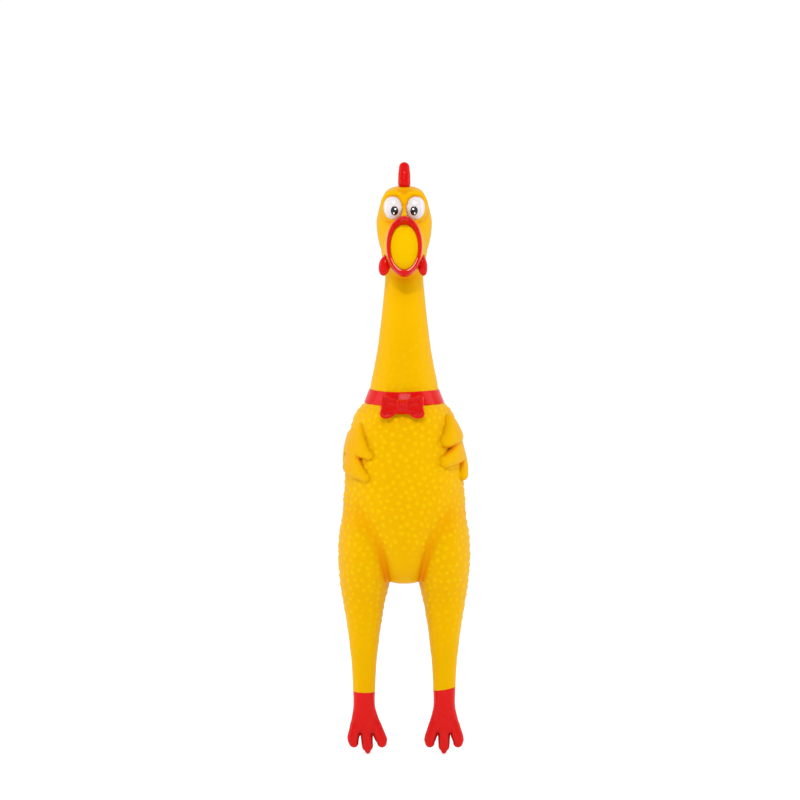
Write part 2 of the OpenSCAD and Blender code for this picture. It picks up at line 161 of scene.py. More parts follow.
class Field:
    """A distance field sampled on a grid, in millimetres, that shapes are added to or cut from."""

    def __init__(self, low, high, cell):
        self.low, self.cell = np.array(low, float), cell
        self.count = np.ceil((np.array(high) - self.low) / cell).astype(int) + 1
        self.high = self.low + cell * (self.count - 1)
        self.value = np.full(self.count, FAR, np.float32)

    def blank(self):
        """An empty field on the same grid."""
        other = copy(self)
        other.value = np.full(self.count, FAR, np.float32)
        return other

    def part(self, low=None, high=None):
        """The samples inside a box, or all of them, as slices and their places."""
        low, high = self.low if low is None else low, self.high if high is None else high
        a = np.clip(np.floor((np.array(low) - self.low) / self.cell).astype(int), 0, self.count - 1)
        b = np.clip(np.ceil((np.array(high) - self.low) / self.cell).astype(int), 0, self.count - 1)
        x, y, h = [(self.low[i] + self.cell * np.arange(a[i], b[i] + 1)) for i in range(3)]
        where = tuple(slice(a[i], b[i] + 1) for i in range(3))
        return where, x[:, None, None], y[None, :, None], h[None, None, :]

    def add(self, shape, low=None, high=None, soft=0.0):
        where, x, y, h = self.part(low, high)
        self.value[where] = smooth_min(self.value[where], shape(x, y, h), soft)

    def cut(self, shape, low, high, soft=0.0):
        where, x, y, h = self.part(low, high)
        self.value[where] = -smooth_min(-self.value[where], shape(x, y, h), soft)

    def at(self, points):
        """The distance at points in millimetres, between the samples."""
        g = np.clip((points - self.low) / self.cell, 0, self.count - 1.001)
        i = g.astype(int)
        f = g - i
        total = 0
        for corner in range(8):
            o = np.array([corner & 1, corner >> 1 & 1, corner >> 2 & 1])
            w = np.prod(np.where(o, f, 1 - f), axis=1)
            j = i + o
            total = total + w * self.value[j[:, 0], j[:, 1], j[:, 2]]
        return total

    def surface(self):
        """Points in millimetres and quads where the distance is zero, faces outwards."""
        grid = openvdb.FloatGrid(FAR)
        grid.copyFromArray(self.value)
        points, quads = grid.convertToQuads()
        points = np.asarray(points, float) * self.cell + self.low
        quads = np.asarray(quads, int)
        a, b, c = points[quads[:, 0]], points[quads[:, 1]], points[quads[:, 2]]
        normal = np.cross(b - a, c - a)
        middle = (a + c) / 2
        step = normal / (np.linalg.norm(normal, axis=1, keepdims=True) + 1e-12) * self.cell
        if np.mean(self.at(middle + step) - self.at(middle - step)) < 0:
            quads = quads[:, ::-1]
        return points, quads


# ---------------------------------------------------------------- meshes and pieces

def vertex_normals(points, quads):
    a, b, c, d = [points[quads[:, i]] for i in range(4)]
    face = np.cross(c - a, d - b)
    total = np.zeros_like(points)
    for i in range(4):
        np.add.at(total, quads[:, i], face)
    return total / (np.linalg.norm(total, axis=1, keepdims=True) + 1e-12)


def new_mesh(name, points, faces, values=None):
    """A smooth mesh from millimetre points and height, with values kept per point."""
    data = bpy.data.meshes.new(name)
    data.from_pydata((np.asarray(points) * MM + [0, 0, TOES]).tolist(), [], faces)
    for key, value in (values or {}).items():
        data.attributes.new(key, "FLOAT", "POINT").data.foreach_set("value", np.asarray(value, np.float32))
    data.polygons.foreach_set("use_smooth", [True] * len(data.polygons))
    return data


def new_object(name, data, material):
    piece = bpy.data.objects.new(name, data)
    data.materials.append(material)
    bpy.context.scene.collection.objects.link(piece)
    return piece


def cap_loops(faces, points, planes):
    """The holes that the planes left in a piece, as faces that close them."""
    seen = dict.fromkeys((a, b) for face in faces for a, b in zip(face, face[1:] + face[:1]))
    edges = [(a, b) for a, b in seen if (b, a) not in seen]
    caps = []
    for where, normal in planes:
        off = np.abs((points - where) @ normal)
        follow = {b: a for a, b in edges if off[a] < 0.004 and off[b] < 0.004}
        starts = [b for b in follow if b not in set(follow.values())]
        while follow:
            at = starts.pop() if starts else next(iter(follow))
            loop = [at]
            while at in follow:
                at = follow.pop(at)
                if at != loop[0]:
                    loop.append(at)
            if len(loop) > 3:
                caps.append(loop)
    return caps


class Skin:
    """One closed skin that is cut by planes into pieces, which keep the whole skin's shading."""

    def __init__(self, field, bumps=None):
        points, quads = field.surface()
        normals = vertex_normals(points, quads)
        values = {"painted_light": np.zeros(len(points)), "crease": shade(field, points, normals)}
        if bumps:
            points, values["painted_light"] = bumps(points, normals, values["crease"])
            normals = vertex_normals(points, quads)
        else:
            # the face has no goose bumps: there the same paler tone is painted light that brightens the
            # mouth's recessed floor
            values["painted_light"] = np.clip((MOUTH_Y + 0.6 - points[:, 1]) / 0.6, 0, 1)
        for i, key in enumerate(("nx", "ny", "nz")):
            values[key] = normals[:, i]
        self.keys = list(values)
        self.mesh = new_mesh("whole_skin", points, quads.tolist(), values)
        self.planes = []

    def split(self, where, normal, low, high):
        """Cuts the skin along a plane, inside the box from low to high."""
        where, normal = np.array(where, float), np.array(normal, float)
        normal = normal / np.linalg.norm(normal)
        self.planes.append((where, normal))
        bm = bmesh.new()
        bm.from_mesh(self.mesh)
        low, high = row(*low), row(*high)
        faces = [f for f in bm.faces if all(
            low[i] < f.verts[0].co[i] < high[i] for i in range(3))]
        edges = {e for f in faces for e in f.edges}
        verts = {v for f in faces for v in f.verts}
        bmesh.ops.bisect_plane(bm, geom=list(verts) + list(edges) + faces, dist=1e-7,
                               plane_co=row(*where), plane_no=Vector(normal))
        bm.to_mesh(self.mesh)
        bm.free()

    def unpack(self):
        """The cut skin's points, faces, face middles and values."""
        m = self.mesh
        points = np.empty(len(m.vertices) * 3)
        m.vertices.foreach_get("co", points)
        self.points = (points.reshape(-1, 3) - [0, 0, TOES]) / MM
        starts = np.empty(len(m.polygons), int)
        corners = np.empty(len(m.loops), int)
        m.polygons.foreach_get("loop_start", starts)
        m.loops.foreach_get("vertex_index", corners)
        self.faces = [f.tolist() for f in np.split(corners, starts[1:])]
        total = np.add.reduceat(self.points[corners], starts, axis=0)
        self.middles = total / np.diff(np.append(starts, len(corners)))[:, None]
        self.values = {}
        for key in self.keys:
            value = np.empty(len(m.vertices), np.float32)
            m.attributes[key].data.foreach_get("value", value)
            self.values[key] = value

    def piece(self, name, mask, material, slot):
        """The part of the skin whose faces the mask keeps, with its cuts closed."""
        faces = [self.faces[i] for i in np.nonzero(mask)[0]]
        used = np.unique(np.concatenate([np.array(f) for f in faces]))
        order = np.full(len(self.points), -1)
        order[used] = np.arange(len(used))
        faces = [order[f].tolist() for f in faces]
        points = self.points[used]
        caps = cap_loops(faces, points, self.planes)
        values = {k: v[used] for k, v in self.values.items()}
        normals = np.stack([values.pop(k) for k in ("nx", "ny", "nz")], axis=1)
        data = new_mesh(name, points, faces + caps, values)
        corner = [normals[i] for f in faces for i in f]
        for loop in caps:
            middle = points[loop].mean(axis=0)
            side = sum((np.cross(points[a] - middle, points[b] - middle)
                        for a, b in zip(loop, loop[1:] + loop[:1])), np.zeros(3))
            corner += [side / (np.linalg.norm(side) + 1e-12)] * len(loop)
        data.normals_split_custom_set(np.array(corner).tolist())
        return new_object(name, data, material)


def shade(field, points, normals):
    """How closed in each point is, from 0 in the open to 1 deep in a fold; the paints darken the folds by
    it as painted shade.
    """
    total = 0
    for reach, share in ((1.2, 0.3), (2.5, 0.35), (4.5, 0.35)):
        gap = field.at(points + normals * reach)
        total = total + share * np.clip(1 - gap / reach, 0, 1)
    return np.clip(total * 2.2, 0, 1)


def whole(name, field, material):
    """A closed piece from a field of its own."""
    points, quads = field.surface()
    normals = vertex_normals(points, quads)
    values = {"painted_light": np.zeros(len(points)), "crease": shade(field, points, normals)}
    data = new_mesh(name, points, quads.tolist(), values)
    return new_object(name, data, material)


# ---------------------------------------------------------------- the skin's shape

# the trunk's and the leg's rows are of height, half width and half depth, the neck's of height
# and radius, and the skull's and the foot's of height, y, half width and half depth
TRUNK = [(187.5, 17.6, 17.6), (185.2, 20.2, 19.2), (183, 22.8, 20.6), (181, 24.4, 21.4),
         (177, 26.4, 22.6), (168, 28.7, 24), (158, 29.9, 24.8), (146, 31, 25.3), (134, 31.2, 25.4),
         (130, 29.9, 25.3), (127, 28.6, 25.2), (124, 26.8, 25), (120, 24, 24.6), (116, 21, 24.1),
         (112, 18.6, 23.4), (108, 16.6, 22.4), (104, 14.8, 21), (100, 13, 19.4), (96, 11.4, 16.8),
         (93, 10, 13.8), (91.6, 8.6, 11.6), (90.9, 6.4, 9)]
NECK = [(183, 18.2), (189, 18), (193, 17.7), (197, 17), (204, 15.6), (212, 14.1), (222, 12.8),
        (231, 11.75), (241, 10.75), (250, 10), (262, 9.9)]
SKULL = [(250, 1.4, 4, 5), (254, 0.2, 8.2, 9), (258, -0.6, 10, 11.2), (263, -0.8, 11.4, 12.6),
         (268, -0.8, 13, 13.7), (273, -0.6, 14, 14.2), (279, -0.3, 14.5, 14.4), (285, 0, 13.5, 14),
         (290, 0.4, 12.1, 12.9), (294, 0.8, 10.5, 11.3), (296.4, 1, 8.5, 9.2), (297.8, 1.2, 5.4, 6)]
LEG = [(132, 4, 5), (126, 8.4, 11), (114, 11.4, 17), (104, 12.2, 17), (99, 12.3, 16.2),
       (91, 12.2, 14.2), (82, 11.1, 11.8), (74, 9.8, 10), (65.5, 8.5, 8.7), (57, 7.5, 7.6),
       (49, 6.6, 6.7), (40, 6.05, 6.05), (34, 5.7, 5.7), (24, 4.6, 4.2)]
FOOT = [(46, 0, 5.6, 5.6), (38, 0, 5.7, 5.7), (34, 0, 5.7, 5.7), (29, 0, 5.65, 5.4),
        (25, 0, 5.8, 5), (21.5, -0.2, 6.5, 4.4), (18, -0.5, 7.4, 3.6), (15, -0.8, 8.2, 3),
        (12.6, -1, 8.4, 2.2), (11.4, -1, 7.4, 1.4)]
LEG_X = 21.1
# how far in x the left foot, 1, and the right foot, -1, drift on the way down to the toes
TOE_DRIFT = {1: -0.2, -1: 2}
# the groin crease's lean in degrees, and the hip's place on it
CREASE_TILT, CREASE_X, HIP = 21, 14.3, 107.5
# an eyeball's middle and half sizes, and those of the hollow it sits in
EYE_X, EYE_Y, EYE_H = 5.4, -13.2, 286.3
EYE_R = (5.35, 4.5, 6.7)
SOCKET_R = (5.3, 5.4, 6.6)
# the middle height of the mouth and the y of its floor
MOUTH_H, MOUTH_Y = 265.6, -23.2


def side_rows(table, x):
    """Rows for tube from rows of height, half width and half depth, at x."""
    return [(r[0], x, 0, r[1], r[2]) for r in table]


def hip_frame(side):
    """The hip joint's place, its axis and the direction up along the groin crease."""
    tilt = math.radians(CREASE_TILT)
    out = np.array([side * math.cos(tilt), 0, -math.sin(tilt)])
    up = np.array([side * math.sin(tilt), 0, math.cos(tilt)])
    return np.array([side * CREASE_X, 0, HIP]), out, up


def add_leg(field, side):
    """The drumstick, shin and three-toed foot, blended more softly into the hip than the groin."""
    x = side * LEG_X
    leg = field.blank()
    leg.add(egg((side * 19.6, 0, 110), (13.7, 18.4, 30)), (x - 34, -28, 60), (x + 34, 28, 150))
    leg.add(tube(side_rows(LEG, x)), (x - 20, -22, 22), (x + 20, 22, 130), 5)
    _, across, _, h = field.part()
    outer = np.clip((np.abs(across) - 18) / 8, 0, 1)
    soft = np.interp(h, [88, 98, 122], [1.2, 2.2, 4.5]) + outer * np.interp(h, [100, 118], [0, 2.5])
    field.value = smooth_min(field.value, leg.value, soft).astype(np.float32)
    drift = TOE_DRIFT[side]
    foot = [(h, x + drift * max(0, (26 - h) / 26), y, rx, ry) for h, y, rx, ry in FOOT]
    field.add(tube(foot), (x - 14, -10, 8), (x + 14, 10, 48), 0.6)
    for spread in (-1, 0, 1):
        low, tip_r = (0.2, 1.5) if spread == 0 else (3.5, 2.6)
        # share of the drift, distance from the middle toe, y and height
        route = [(0.2, 3, -0.4, 21), (0.45, 5.3, -0.9, 15), (0.7, 7.1, -1.2, 9),
                 (0.9, 7.5, -1.3, low + 4.2), (1, 7.4, -1.3, low + tip_r)]
        points = [(x + drift * share + spread * out, y, up) for share, out, y, up in route]
        toe = stroke(points, [2.2, 3, 3.2, 3, tip_r], (1, 0.86, 1))
        field.add(toe, (x - 18, -10, -2), (x + 18, 10, 28), 0.5)


def add_neck_and_skull(field):
    """The parts of the skin that reach across the cut between the neck and the head."""
    field.add(tube([(h, 0, 0, r, r) for h, r in NECK]), (-22, -22, 180), (22, 22, 264), 2)
    skull = tube([(h, 0, y, rx, ry) for h, y, rx, ry in SKULL])
    field.add(skull, (-20, -20, 246), (20, 22, 300), 4)
    muzzle = tube([(-20, 0, 266.2, 8.6, 14.3), (-17, 0, 266.4, 9.2, 14.9), (-12, 0, 266.6, 10.4, 15.4),
                   (-6, 0, 267, 11.6, 16)], 2.1, axis=1)
    field.add(muzzle, (-16, -22, 246), (16, -4, 288), 2)
    mouth = tube([(MOUTH_Y, 0, MOUTH_H, 7.1, 11.6), (-8, 0, MOUTH_H, 7.4, 12)], axis=1)
    field.add(mouth, (-12, -25, 248), (12, -6, 284))


def add_tail(field):
    """A short bump of three joined feathers, low on the back."""
    root, tip = (0, 21, 115.5), (0, 34, 121.8)
    for x, spread in ((-2.6, -0.75), (0, 0), (2.6, 0.75)):
        low = abs(x) * 0.7
        points = [(x * 0.8, root[1], root[2]), (x, 29, root[2] + 1.2 - low * 0.4),
                  (x + spread, tip[1] - low * 0.9, tip[2] - low)]
        field.add(stroke(points, [4.2, 3, 1.5]), (-12, 12, 104), (12, 40, 130), 2.4)


def body_field():
    field = Field((-40, -31, -3), (40, 38, 262), CELL)
    field.add(tube(side_rows(TRUNK, 0)), (-40, -31, 88), (40, 31, 190))
    for side in (-1, 1):
        add_leg(field, side)
    add_neck_and_skull(field)
    add_tail(field)
    return field


def eye_ring(side, grow, lift, start, end, count=24):
    """Points round an eye's opening, from the angle start to end, counted from its outer side."""
    points = []
    for k in range(count + 1):
        a = math.radians(start + (end - start) * k / count)
        x = side * max(EYE_X + (SOCKET_R[0] + grow) * math.cos(a), 0.15)
        h = EYE_H + (SOCKET_R[2] + grow) * math.sin(a)
        y = EYE_Y - 1.9 + lift + 0.13 * (side * x - EYE_X + 1) ** 2 * (side * x > EYE_X - 1)
        points.append((x, y, h))
    return points


def head_field():
    """The head with its bulging lids, eye hollows, rims, brows and the bridge between them."""
    field = Field((-18, -26, 244), (18, 20, 302), FINE)
    add_neck_and_skull(field)
    for side in (-1, 1):
        lid = egg((side * EYE_X, -10.8, EYE_H - 0.2), (6.6, 5.2, 7.5))
        field.add(lid, (-18, -24, 270), (18, 4, 300), 2)
    for side in (-1, 1):
        hollow = egg((side * EYE_X, -15.2, EYE_H), SOCKET_R)
        field.cut(hollow, (-18, -24, 274), (18, -6, 298), 0.5)
    for side in (-1, 1):
        rim = stroke(eye_ring(side, 0.55, 0.1, -125, 200), [0.65] * 25)
        field.add(rim, (-18, -24, 274), (18, 0, 298), 1)
        brow = eye_ring(side, 0.8, -0.9, 15, 160)
        thick = [0.4 + 0.9 * math.sin(math.pi * k / 24) for k in range(25)]
        field.add(stroke(brow, thick), (-18, -24, 274), (18, 0, 300), 2.4)
    forehead = egg((0, -8.4, 290.8), (7.6, 6.2, 6.2))
    field.add(forehead, (-18, -24, 280), (18, 6, 302), 4)
    bridge = stroke([(0, -14.6, 288), (0, -17, 283.6), (0, -19.4, 280)], [0.7, 1.1, 1.9])
    field.add(bridge, (-8, -24, 274), (8, -8, 294), 1.4)
    return field


# ---------------------------------------------------------------- goose bumps

# the least distance between bumps, and a bump's radius and height
BUMP_GAP, BUMP_R, BUMP_RISE = 3.4, 1.8, 0.42


def bump_strength(points):
    """How strong the goose bumps are at a place: full on trunk and thighs, none on the face."""
    x, y, h = points.T
    strength = np.interp(h, [40, 60, 80, 92, 176, 183, 192, 215, 225],
                         [0, 0.35, 0.8, 1, 1, 0.75, 0.4, 0.25, 0])
    groin = np.clip(1.4 - np.hypot(x / 11, (h - 97) / 12), 0, 1)
    tail = np.clip((y - 24) / 3, 0, 1) * (h > 100) * (h < 135)
    return strength * (1 - groin) * (1 - tail)


def add_bumps(points, normals, crease):
    """Raises the goose bumps and says how near each point is to their tops, which the yellow paint
    lightens as a painted highlight.
    """
    rng = np.random.default_rng(7)
    strength = bump_strength(points) * np.clip(1.2 - 2 * crease, 0, 1)
    chosen, cells = [], {}
    able = np.nonzero(strength > 0.05)[0]
    for i in rng.permutation(able):
        p = points[i]
        key = tuple((p // BUMP_GAP).astype(int))
        near = [cells.get((key[0] + a, key[1] + b, key[2] + c)) for a in (-1, 0, 1)
                for b in (-1, 0, 1) for c in (-1, 0, 1)]
        if all(q is None or sum((p - q) ** 2) > BUMP_GAP ** 2 for group in near if group for q in group):
            cells.setdefault(key, []).append(p)
            chosen.append((p, strength[i], rng.uniform(0.8, 1.15)))
    tree = kdtree.KDTree(len(chosen))
    for k, (p, _, _) in enumerate(chosen):
        tree.insert(p, k)
    tree.balance()
    dome = np.zeros(len(points))
    for i in able:
        _, k, distance = tree.find(points[i])
        radius = BUMP_R * chosen[k][2]
        if distance < radius:
            dome[i] = (1 - (distance / radius) ** 2) ** 2 * chosen[k][1]
    return points + normals * (dome * BUMP_RISE)[:, None], dome


# ---------------------------------------------------------------- the skin's pieces

# heights where the neck is cut, and from each cut up: the piece, the bodies it bends between,
# the heights over which it bends and the node it replaces
NECK_CUTS = [188, 207, 227, 241, 253]
NECK_PARTS = [("skin_neck_low", "torso", "neck_lower", 189, 205, "neck_lower"),
              ("skin_neck_mid", "neck_lower", "neck_middle", 209, 226, "neck_middle"),
              ("skin_neck_high", "neck_middle", "neck_upper", 229, 240, "neck_upper"),
              ("skin_throat", "neck_upper", "head", 242, 253, None)]
SHIN_TOP, SHIN_END = 72, 44
# how far above the hip the thigh piece goes, and where the tail piece starts
HIP_TOP = 16
TAIL_Y = 27


def sock_line(side):
    """Where the red foot starts: a place and the slightly slanted direction up the leg."""
    if side > 0:
        return np.array([LEG_X, 0, 34.8]), np.array([-0.17, 0, 1])
    return np.array([-LEG_X, 0, 33.2]), np.array([0.02, 0, 1])


def cut_skin(skin):
    """Cuts the skin at the neck's bends, the tail, the hips, the knees, the ankles and the socks."""
    for h in NECK_CUTS:
        skin.split((0, 0, h), (0, 0, 1), (-30, -30, h - 5), (30, 30, h + 5))
    skin.split((0, TAIL_Y, 116), (0, 1, 0), (-15, 20, 104), (15, 40, 134))
    for h in (SHIN_TOP, SHIN_END):
        skin.split((0, 0, h), (0, 0, 1), (-42, -30, h - 4), (42, 30, h + 4))
    for side in (-1, 1):
        low, high = (side * 22 - 20, -30), (side * 22 + 20, 30)
        where, up = sock_line(side)
        skin.split(where, up, (*low, 26), (*high, 42))
        hip, out, up = hip_frame(side)
        skin.split(hip, out, (*low, 84), (*high, 136))
        skin.split(hip + up * HIP_TOP, up, (*low, 100), (*high, 140))
    skin.unpack()


def make_skin_pieces(yellow, red):
    """Takes each piece of the skin in turn, from the neck down; the torso is what is left."""
    skin = Skin(body_field(), add_bumps)
    cut_skin(skin)
    x, y, h = skin.middles.T
    rest = np.ones(len(x), bool)

    def take(name, mask, material=yellow, slot="yellow_skin"):
        keep = rest & mask
        rest[keep] = False
        return skin.piece(name, keep, material, slot)

    rest[h > NECK_CUTS[-1]] = False
    for k, (name, a, b, start, end, node) in enumerate(NECK_PARTS):
        piece = take(name, (h > NECK_CUTS[k]) & (h < NECK_CUTS[k + 1]))
        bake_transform(piece)
        if node:
            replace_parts(piece, node)
    tail = take("skin_tail", (y > TAIL_Y) & (h > 100) & (h < 140))
    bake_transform(tail)
    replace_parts(tail, "tail")
    for side, word in SIDES:
        near = side * x > 0
        where, sock = sock_line(side)
        off = (skin.middles - where) @ sock
        thigh_body, shin_body, foot_body = word + "_thigh", word + "_shin", word + "_foot"
        foot = take("skin_" + foot_body, near & (off < 0) & (h < 50), red, "red_skin")
        ankle = take("skin_" + word + "_ankle", near & (h < SHIN_END))
        for piece in (foot, ankle):
            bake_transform(piece)
        shin = take("skin_" + shin_body, near & (h < SHIN_TOP))
        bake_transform(shin)
        hip, out, up = hip_frame(side)
        local = skin.middles - hip
        thigh = take("skin_" + thigh_body, near & (local @ out > 0) & (local @ up < HIP_TOP))
        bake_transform(thigh)
        for piece, node in ((foot, foot_body), (shin, shin_body), (thigh, thigh_body)):
            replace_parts(piece, node)
    torso = take("skin_torso", rest)
    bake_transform(torso)
    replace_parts(torso, "torso_skin", "belly_panel")


def make_head_skin(yellow):
    skin = Skin(head_field())
    cut = NECK_CUTS[-1]
    skin.split((0, 0, cut), (0, 0, 1), (-20, -20, cut - 4), (20, 20, cut + 4))
    skin.unpack()
    head = skin.piece("skin_head", skin.middles[:, 2] > cut, yellow, "yellow_skin")
    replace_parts(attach(head, "head"), "head_skin")


# ---------------------------------------------------------------- beak, comb and wattles

def on_oval(a, rx, rh, y, middle):
    """A point of an upright oval round x = 0, at the angle a."""
    return (rx * math.cos(a), y, middle + rh * math.sin(a))


def make_beak(red):
    """The gaping beak: a red ring with a raised lip, a ridged upper tip and a hollow cup."""
    field = Field((-14, -32, 246), (14, -6, 286), FINE)
    wall = [(-25.4, 0, 266.5, 8.7, 13.8), (-24, 0, 266.2, 9.2, 14.7), (-21, 0, 266, 9.2, 15.4),
            (-18.6, 0, 266.2, 8.9, 14.9), (-16, 0, 266.3, 8.2, 13.8)]
    field.add(tube(wall, 2.1, axis=1))
    ridge = stroke([(0, -17, 278.4), (0, -21, 279.2), (0, -26.8, 278.6)], [2, 2.2, 1.4], (1, 1, 0.9))
    field.add(ridge, (-10, -32, 270), (10, -6, 286), 2.2)
    chin = stroke([(0, -18, 253.4), (0, -24, 252.6)], [1.8, 1.6])
    field.add(chin, (-10, -32, 246), (10, -6, 262), 3)
    cup = [(-33, 0, 266, 9.2, 14), (-25.6, 0, 265.7, 7.8, 12.2), (-24.2, 0, MOUTH_H, 7.1, 11.5),
           (MOUTH_Y + 0.4, 0, MOUTH_H, 6.8, 11.2), (MOUTH_Y + 0.8, 0, MOUTH_H, 6, 10.4)]
    field.cut(tube(cup, 2.1, axis=1), (-12, -33, 248), (12, MOUTH_Y + 2, 282), 0.5)
    turns = [2 * math.pi * k / 48 for k in range(49)]
    lip = stroke([on_oval(a, 8.3, 13, -25.3, 266.1) for a in turns], [0.62] * 49)
    field.add(lip, (-12, -32, 248), (12, -20, 284), 0.7)
    beak = whole("beak", field, red)
    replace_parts(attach(beak, "head"), "beak_rim")


def make_lip_highlight(pale):
    """The thin raised bead along the lower inner edge of the beak, painted pale red as a highlight where
    the lip's edge catches the light.
    """
    field = Field((-12, -30, 248), (12, -20, 262), FINE / 2)
    low = [math.radians(208 + 124 * k / 30) for k in range(31)]
    thin = [0.12 + 0.2 * math.sin(math.pi * k / 30) for k in range(31)]
    bead = stroke([on_oval(a, 7.7, 12.8, -25.75, 266) for a in low], thin)
    field.add(bead)
    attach(whole("beak_lip_highlight", field, pale), "head")


def make_comb(red):
    """Four soft teeth along the crown; from the front they are one round-topped bar."""
    field = Field((-6, -16, 292), (6, 20, 314), FINE)
    foot = stroke([(0, -6, 299), (0, -2, 300), (0, 5, 300), (0, 11.4, 297.4)], [2.9, 2.9, 2.8, 2.5])
    field.add(foot, (-6, -16, 292), (6, 20, 306))
    front = stroke([(0, -9.4, 299.4), (0, -8.8, 303.5), (0, -6.8, 307.4)], [3.2, 3.15, 2.75], (1, 0.85, 1))
    field.add(front, soft=1)
    # start, middle and end in y, height and radius of the tip
    teeth = [(-3.5, -0.8, 2.6, 305.8, 2.3), (1.5, 4, 7.2, 303.9, 2.1), (6.5, 9, 12.2, 301.2, 1.8)]
    for start, middle, end, top, r in teeth:
        tooth = stroke([(0, start, 299), (0, middle, 303.4 - 0.25 * start), (0, end, top)],
                       [2.9, 2.75, r], (1, 0.85, 1))
        field.add(tooth, soft=1.4)
    comb = whole("comb_teeth", field, red)
    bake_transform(comb)
    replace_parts(comb, "comb")


def make_wattles(red):
    for side, word, out, wide in ((1, "left", 9.3, 2.5), (-1, "right", 10.2, 3)):
        x = side * out
        field = Field((x - 7, -20, 246), (x + 7, -4, 266), FINE)
        lean = Matrix.Rotation(math.radians(-10 * side), 3, "Y")
        drop = egg((x, -13.6, 256.1), (wide, 2.2, 5.1), lean)
        field.add(drop)
        root = stroke([(side * 9, -11.4, 261), (x, -13.2, 257.4)], [1.7, 2])
        field.add(root, soft=1.5)
        wattle = whole(word + "_wattle_lobe", field, red)
        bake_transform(wattle)
        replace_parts(wattle, word + "_wattle")


# ---------------------------------------------------------------- eyes

def make_eyes(white, black, shine):
    """Each eye is an egg-shaped white with a painted pupil and two glints that follow it."""
    for side, word in SIDES:
        x = side * EYE_X
        field = Field((x - 7, -20, 278), (x + 7, -6, 295), FINE)
        field.add(egg((x, EYE_Y, EYE_H), EYE_R))
        eye = whole(word + "_eye_white", field, white)
        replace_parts(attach(eye, "head"), word + "_eyeball")
        px, ph = x - side * 0.35, EYE_H - 1.9
        dome = lens((px, ph), (1.95, 2.4), 0.25, x)
        pupil = new_object(word + "_eye_black", dome, black)
        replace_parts(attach(pupil, "head"), word + "_pupil")
        # place from the pupil's middle and half sizes
        glints = ((-0.45 * side, 0.85, 0.58, 0.44), (0.3 * side, -1.3, 0.32, 0.52))
        for k, (dx, dh, rx, rh) in enumerate(glints, 1):
            spot = lens((px + dx, ph + dh), (rx, rh), 0.5, x)
            glint = new_object(f"{word}_eye_glint_{k}", spot, shine)
            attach(glint, "head")


def eye_front(x, h, middle):
    """The y of the eyeball's front surface at x and h."""
    inside = 1 - ((x - middle) / EYE_R[0]) ** 2 - ((h - EYE_H) / EYE_R[2]) ** 2
    return EYE_Y - EYE_R[1] * math.sqrt(max(0, inside))


def lens(centre, radii, rise, middle, rings=7, count=40):
    """A low painted dome that follows the eyeball, closed at the back."""
    points, faces = [], []
    for back in (0, 1):
        for k in range(rings + 1):
            t = k / rings
            for j in range(count):
                a = 2 * math.pi * j / count
                x = centre[0] + radii[0] * t * math.cos(a)
                h = centre[1] + radii[1] * t * math.sin(a)
                lift = -0.3 if back else rise * math.sqrt(max(0, 1 - t ** 4))
                points.append((x, eye_front(x, h, middle) - lift, h))
    layer = (rings + 1) * count
    for back in (0, 1):
        for k in range(rings):
            for j in range(count):
                n = (j + 1) % count
                q = [back * layer + k * count + j, back * layer + k * count + n,
                     back * layer + (k + 1) * count + n, back * layer + (k + 1) * count + j]
                faces.append(q if back else q[::-1])
    edge = rings * count
    faces += [[edge + j, edge + (j + 1) % count, layer + edge + (j + 1) % count, layer + edge + j]
              for j in range(count)]
    data = new_mesh("lens", points, faces)
    bm = bmesh.new()
    bm.from_mesh(data)
    bmesh.ops.remove_doubles(bm, verts=bm.verts, dist=1e-7)
    bmesh.ops.recalc_face_normals(bm, faces=bm.faces)
    bm.to_mesh(data)
    bm.free()
    return data


# ---------------------------------------------------------------- wings

def on_trunk(side, angle, h, off):
    """A point off the trunk's skin; the angle goes from the side towards the front."""
    a = math.radians(angle)
    rx, ry = [float(curve(TRUNK, c, np.array([h]))[0]) for c in (1, 2)]
    return (side * (rx + off) * math.cos(a), -(ry + off) * math.sin(a), h)


def add_feather(field, side, top, low, tip, radii, offs, fan=11):
    """A leaf-shaped lobe that lies on the trunk, from a root between top and low to a tip.
    Places are angle and height; radii and offs are those at the top, the low edge and the tip,
    and the last of offs swells the middle."""
    for k in range(fan):
        t = k / (fan - 1)
        root = [top[i] + (low[i] - top[i]) * t for i in range(2)]
        r, off = [v[0] + (v[1] - v[0]) * t for v in (radii, offs)]
        line, thick = [], []
        for j in range(5):
            s = j / 4
            bow = 2.2 * (1 - s) * s * (1 - 2 * t)
            line.append(on_trunk(side, root[0] + (tip[0] - root[0]) * s + bow * 1.5,
                                 root[1] + (tip[1] - root[1]) * s + bow,
                                 off + (offs[2] - off) * s + offs[3] * math.sin(math.pi * s)))
            thick.append(r + (radii[2] - r) * s)
        field.add(stroke(line, thick), soft=1.5)


def make_wing(side, word, feathers, yellow):
    """A wing of separate lobes; each feather is the arguments of add_feather."""
    field = Field((min(side * 8, side * 38), -31, 138), (max(side * 8, side * 38), 20, 184), FINE * 1.4)
    for k, feather in enumerate(feathers):
        lobe = field.blank()
        add_feather(lobe, side, *feather)
        field.value = smooth_min(field.value, lobe.value, 0.35)
    wing = whole(word + "_wing_feathers", field, yellow)
    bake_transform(wing)
    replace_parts(wing, word + "_wing")


